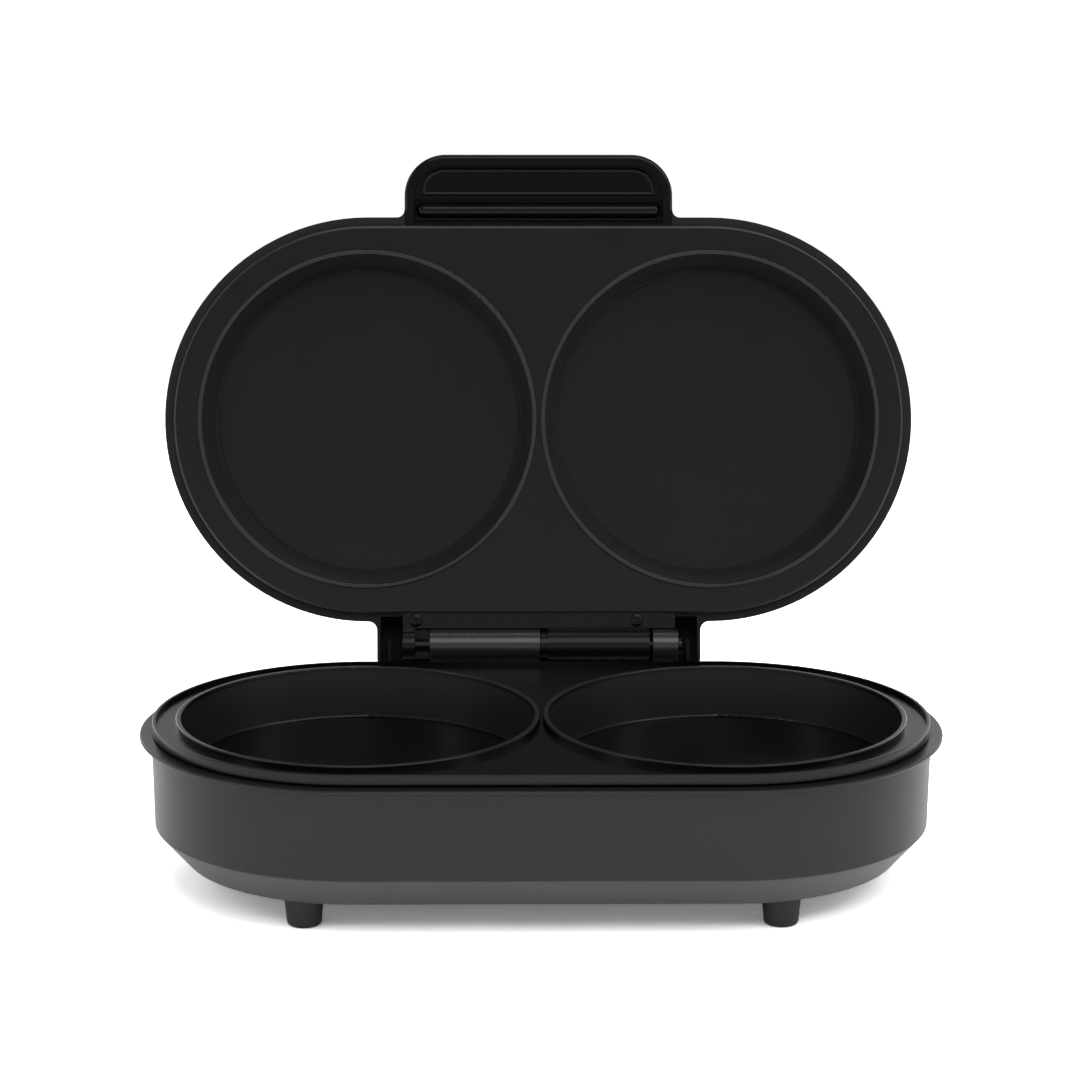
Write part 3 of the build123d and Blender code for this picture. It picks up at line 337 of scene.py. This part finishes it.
def platePaint(paint, v, sideways, back):
    aside = paint.maths("ABSOLUTE", sideways) - v["roundPlace"]
    beyond = paint.maths("MAXIMUM", aside, 0.0)
    circle = paint.maths("SQRT", aside * aside + back * back)
    oval = paint.maths("SQRT", beyond * beyond + back * back)
    zones = []
    for ring, (start, full, fade, end, colour, duller) in v["paintedLightRings"].items():
        reach = oval if ring == "edge" else circle
        mask = paint.ramp(reach, start, full) * (1 - paint.ramp(reach, fade, end))
        zones.append((mask, colour, duller))
    return coat(paint, v, zones)


def upperPlatePaint(v):
    paint = Paint("upper_plate_coat")
    sideways, back, _ = closedParts(paint)
    return platePaint(paint, v, sideways, back)


def lowerPlatePaint(v):
    paint = Paint("lower_plate_coat")
    sideways, back, _ = paint.parts(paint.place())
    return platePaint(paint, v, sideways, back)


# The other finishes
glossy = {
    **ordinary,
    "dark": grey(0.003),
    "light": grey(0.005),
    "cloudScale": 30.0,
    "dullScale": 70.0,
    "spread": 0.05,
    "roughness": 0.125,
    "grainScale": 120.0,
    "grain": 0.00003,
}
hingeCasting = {
    **ordinary,
    "dark": grey(0.013),
    "light": grey(0.019),
    "cloudScale": 80.0,
    "dullScale": 400.0,
    "spread": 0.08,
    "roughness": 0.28,
    "refraction": 1.6,
    "grainScale": 700.0,
    "grain": 0.00002,
}
rubber = {
    **ordinary,
    "dark": grey(0.009),
    "light": grey(0.015),
    "cloudScale": 90.0,
    "dullScale": 300.0,
    "spread": 0.15,
    "roughness": 0.625,
    "grainScale": 1500.0,
    "grain": 0.00004,
}
steel = {
    **ordinary,
    "metallic": 1.0,
    "dark": grey(0.35),
    "light": grey(0.5),
    "cloudScale": 200.0,
    "dullScale": 500.0,
    "spread": 0.15,
    "roughness": 0.375,
    "grainScale": 900.0,
    "grainDetail": 3.0,
    "grain": 0.00003,
}
plain = {
    **ordinary,
    "cloudScale": 150.0,
    "dullScale": 300.0,
    "spread": 0.1,
    "roughness": 0.55,
    "grainScale": 1200.0,
    "grain": 0.00003,
    "darker": 0.85,
}


def tinted(*colour, roughness=plain["roughness"]):
    # a plain finish between the colour and a darker one
    darker = [channel * plain["darker"] for channel in colour]
    return {**plain, "dark": (*darker, 1.0), "light": (*colour, 1.0), "roughness": roughness}


finishes = {
    "cover": tinted(0.02, 0.02, 0.02),
    "gloss_black": {**glossy, "refraction": 1.29},
    "hinge_black": hingeCasting,
    "rubber": rubber,
    "steel": steel,
    "black_steel": {**steel, "dark": grey(0.018), "light": grey(0.03), "roughness": 0.295},
    "tray_steel": {**steel, "dark": grey(0.45), "light": grey(0.6)},
    "shield": {**steel, "dark": grey(0.6), "light": grey(0.75), "roughness": 0.325},
    "terminal": tinted(0.7, 0.68, 0.6),
    "red_lens": tinted(0.35, 0.02, 0.015, roughness=0.15),
    "green_lens": tinted(0.02, 0.22, 0.05, roughness=0.15),
    "lamp_glass": tinted(0.7, 0.65, 0.6, roughness=0.15),
}
leafBlack = {**hingeCasting, "dark": grey(0.003), "light": grey(0.005), "refraction": 1.33}
insertBlack = {**glossy, "refraction": 1.26}

slotPaints = {slot: coat(Paint(slot), values) for slot, values in finishes.items()}
nodePaints = {
    "base_housing": basePaint(baseShell),
    "lid_housing": lidPaint(lidShell),
    "lower_plate": lowerPlatePaint(shadedLowerCoat),
    "upper_plate": upperPlatePaint(upperCoat),
    "lid_hinge_leaf": coat(Paint("leaf_black"), leafBlack),
    "handle_insert": coat(Paint("insert_black"), insertBlack),
}

for entry in frame["record"]["subparts"]:
    piece = nodes[entry["node"]]
    piece.data.materials.clear()
    piece.data.materials.append(nodePaints.get(entry["node"]) or slotPaints[entry["material_slot"]])
print("materials:", len(slotPaints) + len(nodePaints))


# Hinge leaf screws: pan heads with a cross recess
screwValues = {
    "headRadius": 0.0026,
    "headHeight": 0.0013,
    "edgeHeight": 0.0007,
    "domeSteps": 8,
    "shankRadius": 0.0015,
    "shankLength": 0.0060,
    "segments": 48,
    "recessLength": 0.0032,
    "recessWidth": 0.00062,
    "recessFoot": 0.45,
    "recessDepth": 0.0009,
    "turns": (12.0, 38.0),
    "sharpAngle": 30.0,
}


def turned(profile, segments):
    # a closed form turned about Z from a profile of radius and height
    form = bmesh.new()
    points = [form.verts.new((radius, 0.0, height)) for radius, height in profile]
    lines = [form.edges.new(pair) for pair in zip(points, points[1:])]
    bmesh.ops.spin(form, geom=points + lines, axis=(0, 0, 1), cent=(0, 0, 0), steps=segments, angle=2 * pi)
    bmesh.ops.remove_doubles(form, verts=form.verts, dist=1e-6)
    bmesh.ops.recalc_face_normals(form, faces=form.faces)
    return form


def asObject(name, form):
    mesh = bpy.data.meshes.new(name)
    form.to_mesh(mesh)
    form.free()
    made = bpy.data.objects.new(name, mesh)
    bpy.context.scene.collection.objects.link(made)
    return made


def cutBy(piece, tool):
    # the piece's mesh with the tool's form cut out, and the tool gone
    cut = piece.modifiers.new("cut", "BOOLEAN")
    cut.operation = "DIFFERENCE"
    cut.solver = "EXACT"
    cut.object = tool
    bpy.context.view_layer.update()
    mesh = bpy.data.meshes.new_from_object(piece.evaluated_get(bpy.context.evaluated_depsgraph_get()))
    piece.modifiers.clear()
    piece.data = mesh
    bpy.data.objects.remove(tool)


def recessSlot(v, turn):
    # one slot of the cross, shorter at its foot, and as far above the head's top as below it
    form = bmesh.new()
    bmesh.ops.create_cube(form, size=1.0)
    for corner in form.verts:
        share = v["recessFoot"] if corner.co.z < 0 else 1.0
        corner.co = (
            corner.co.x * v["recessLength"] * share,
            corner.co.y * v["recessWidth"],
            v["headHeight"] + corner.co.z * 2 * v["recessDepth"],
        )
    bmesh.ops.rotate(form, verts=form.verts, matrix=Matrix.Rotation(radians(turn), 3, "Z"))
    return asObject("recess", form)


def addLeafScrews(v):
    places = [toClosed(corner.co) for corner in nodes["hinge_leaf_screws"].data.vertices]
    seatBack = (min(p.y for p in places) + max(p.y for p in places)) / 2
    headFront = min(p.z for p in places)
    ends = (min(p.x for p in places) + v["headRadius"], max(p.x for p in places) - v["headRadius"])
    radius, height, edge = v["headRadius"], v["headHeight"], v["edgeHeight"]
    profile = [
        (0.0, -v["shankLength"]),
        (v["shankRadius"], -v["shankLength"]),
        (v["shankRadius"], 0.0),
        (radius, 0.0),
        (radius, edge),
    ]
    for step in range(1, v["domeSteps"] + 1):
        angle = pi / 2 * step / v["domeSteps"]
        profile.append((radius * cos(angle), edge + (height - edge) * sin(angle)))
    for side, across, turn in zip(("left", "right"), ends, v["turns"]):
        head = asObject("leaf_screw_" + side, turned(profile, v["segments"]))
        cutBy(head, recessSlot(v, turn))
        cutBy(head, recessSlot(v, turn + 90))
        # the heads face down on the closed lid
        facing = Matrix.Rotation(-closing, 4, "X") @ Matrix.Rotation(pi, 4, "X")
        seat = fromClosed((across, seatBack, headFront + height))
        head.data.transform(Matrix.Translation(seat) @ facing)
        head.data.set_sharp_from_angle(angle=radians(v["sharpAngle"]))
        head.data.materials.append(slotPaints["black_steel"])
        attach(head, "lid")
        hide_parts("hinge_leaf_screws")


addLeafScrews(screwValues)
print("leaf screws made")


# Floor, backdrop and light

stageValues = {
    "floorSize": 30.0,
    "floorColour": 0.85,
    "cameraLift": 3.4,
    "glossLift": 1.8,
    "shadowFill": 0.07,
    "farFloor": 1.02,
    "nearReach": 0.35,
    "farReach": 1.3,
    "backStart": 0.15,
    "backFull": 0.75,
    "lowEnd": 0.2,
    "highStart": 0.36,
    "frontLow": 1.0,
    "frontHigh": 0.34,
    "backLow": 0.95,
    "backHigh": 0.3,
}


def addFloor(v):
    # the floor keeps the shadow near the cooker and turns white further out
    form = bmesh.new()
    bmesh.ops.create_grid(form, x_segments=1, y_segments=1, size=v["floorSize"] / 2)
    floor = asObject("floor", form)
    paint = Paint("floor")
    along, across, _ = paint.parts(paint.place())
    distance = paint.maths("SQRT", along * along + across * across)
    far = paint.ramp(distance, v["nearReach"], v["farReach"])
    path = paint.node("ShaderNodeLightPath")
    white = paint.node("ShaderNodeEmission", Color=grey(1.0), Strength=v["farFloor"])
    surface = paint.node("ShaderNodeBsdfDiffuse", Color=grey(v["floorColour"]))
    rays = {"Is Glossy Ray": (v["glossLift"], 0.0), "Is Camera Ray": (v["cameraLift"], v["shadowFill"])}
    for ray, (lift, fill) in rays.items():
        lifted = paint.node("ShaderNodeBsdfDiffuse", Color=grey(lift))
        shown = paint.mixed(paint.maths("MAXIMUM", far, fill), lifted, white)
        surface = paint.mixed(paint.amount(path.outputs[ray]), surface, shown)
    floor.data.materials.append(paint.finish(surface))


def addRoom(v):
    # the room is bright low down and dim higher up, and the camera sees it white
    world = bpy.data.worlds.new("studio")
    bpy.context.scene.world = world
    world.use_nodes = True
    room = Paint("room", world.node_tree)
    direction = room.node("ShaderNodeTexCoord").outputs["Generated"]
    _, back, height = room.parts(direction)
    up = room.ramp(height, v["lowEnd"], v["highStart"])
    front, rear = [
        room.mixed(
            up,
            room.node("ShaderNodeBackground", Strength=v[side + "Low"]),
            room.node("ShaderNodeBackground", Strength=v[side + "High"]),
        )
        for side in ("front", "back")
    ]
    lit = room.mixed(room.ramp(back, v["backStart"], v["backFull"]), front, rear)
    backdrop = room.node("ShaderNodeBackground", Color=grey(1.0))
    camera = room.amount(room.node("ShaderNodeLightPath").outputs["Is Camera Ray"])
    output = room.node("ShaderNodeOutputWorld")
    room.tree.links.new(room.mixed(camera, lit, backdrop).outputs[0], output.inputs["Surface"])


middle = (0.0, 0.0, 0.0)
onBase = (0.0, 0.0, 0.1)
onLid = (0.0, 0.0, 0.15)
lightValues = {
    "top_light": {"place": (0.0, 0.6, 1.8), "target": middle, "size": (1.6, 0.4), "power": 5.0},
    "left_strip": {"place": (-1.2, -0.4, 0.8), "target": onLid, "size": (0.25, 1.0), "power": 2.0},
    "right_strip": {"place": (1.2, -0.4, 0.8), "target": onLid, "size": (0.25, 1.0), "power": 2.0},
    "front_light": {"place": (0.5, -1.0, 1.6), "target": middle, "size": (2.0, 1.0), "power": 14.0},
    "left_light": {"place": (-0.7, 1.6, 0.6), "target": onBase, "size": (0.6, 0.9), "power": 3.0},
    "right_light": {"place": (0.7, 1.6, 0.6), "target": onBase, "size": (0.6, 0.9), "power": 3.0},
}


def addLight(name, v):
    data = bpy.data.lights.new(name, "AREA")
    data.shape = "RECTANGLE"
    data.size, data.size_y = v["size"]
    data.energy = v["power"]
    lamp = bpy.data.objects.new(name, data)
    aim = Vector(v["target"]) - Vector(v["place"])
    lamp.matrix_world = Matrix.Translation(v["place"]) @ aim.to_track_quat("-Z", "Y").to_matrix().to_4x4()
    bpy.context.scene.collection.objects.link(lamp)


addFloor(stageValues)
addRoom(stageValues)
for name, values in lightValues.items():
    addLight(name, values)
bpy.context.scene.view_settings.view_transform = "Standard"
print("stage and lights set")
